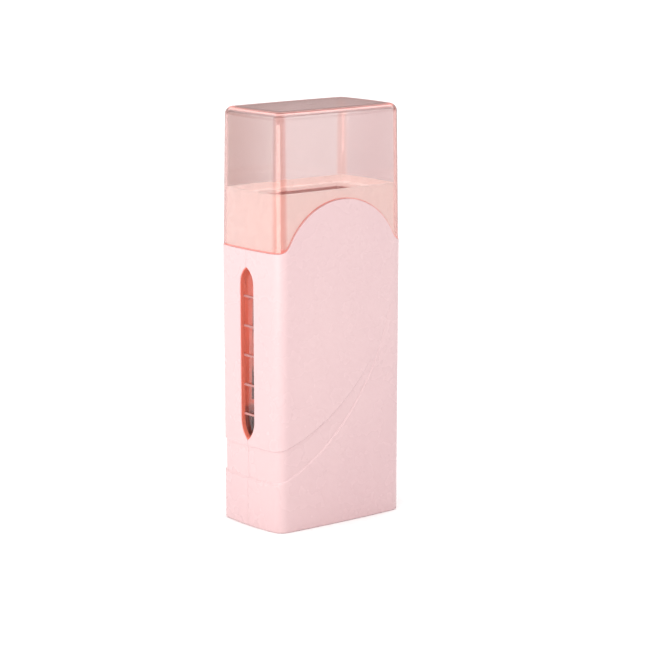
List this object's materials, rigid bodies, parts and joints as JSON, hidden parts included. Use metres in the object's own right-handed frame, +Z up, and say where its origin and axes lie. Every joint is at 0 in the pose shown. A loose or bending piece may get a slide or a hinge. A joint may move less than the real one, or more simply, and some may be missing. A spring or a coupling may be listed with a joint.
{
  "type": "roll-on wax cartridge heater",
  "caption": "Hand-held heater for a roll-on wax cartridge, with a lift-off clear cap, a sight window on one narrow side and an arched joint between case and cap.",
  "frame": {"origin": "centre of the base that the heater stands on", "axes": "+Z up towards the cap; X along the wide faces with the sight window on -X and the mains inlet on +X; Y through the wide faces with the case screws entering from +Y"},
  "size_m": [0.0814, 0.0496, 0.205],
  "materials": {
    "shell": "pale pink moulded plastic, satin",
    "collar": "pink moulded plastic, satin",
    "cap": "clear pink plastic, polished",
    "lens": "clear plastic, polished",
    "liner": "orange-red heat-resistant plastic",
    "chamber_floor": "dark brown heat-resistant plastic",
    "aluminium": "plain sheet",
    "heater": "extruded heater case",
    "film": "polyimide film",
    "steel": "zinc-plated",
    "thermostat": "phenolic",
    "fuse": "drawn metal case",
    "inlet": "black moulded plastic",
    "live_wire": "silicone-insulated wire, red",
    "neutral_wire": "silicone-insulated wire, white"
  },
  "bodies": {
    "case": {"front_shell": "shell", "back_shell": "shell", "case_screw_1": "steel", "case_screw_2": "steel", "case_screw_3": "steel", "case_screw_4": "steel", "collar": "collar", "window_lens": "lens", "chamber_liner": "liner", "chamber_floor": "chamber_floor", "front_heat_plate": "aluminium", "rear_heat_plate": "aluminium", "front_heater": "heater", "rear_heater": "heater", "front_insulator": "film", "rear_insulator": "film", "front_clip": "steel", "rear_clip": "steel", "thermostat": "thermostat", "thermal_fuse": "fuse", "inlet_housing": "inlet", "inlet_pin_live": "steel", "inlet_pin_neutral": "steel", "live_lead": "live_wire", "neutral_lead": "neutral_wire", "thermostat_lead": "live_wire", "fuse_lead": "neutral_wire", "heater_link_lead": "live_wire"},
    "cap": {"cap": "cap"}
  },
  "joints": [
    {"name": "cap_lift", "type": "slide", "parent": "case", "child": "cap", "axis": [0, 0, 1], "range_m": [0, 0.08]}
  ]
}
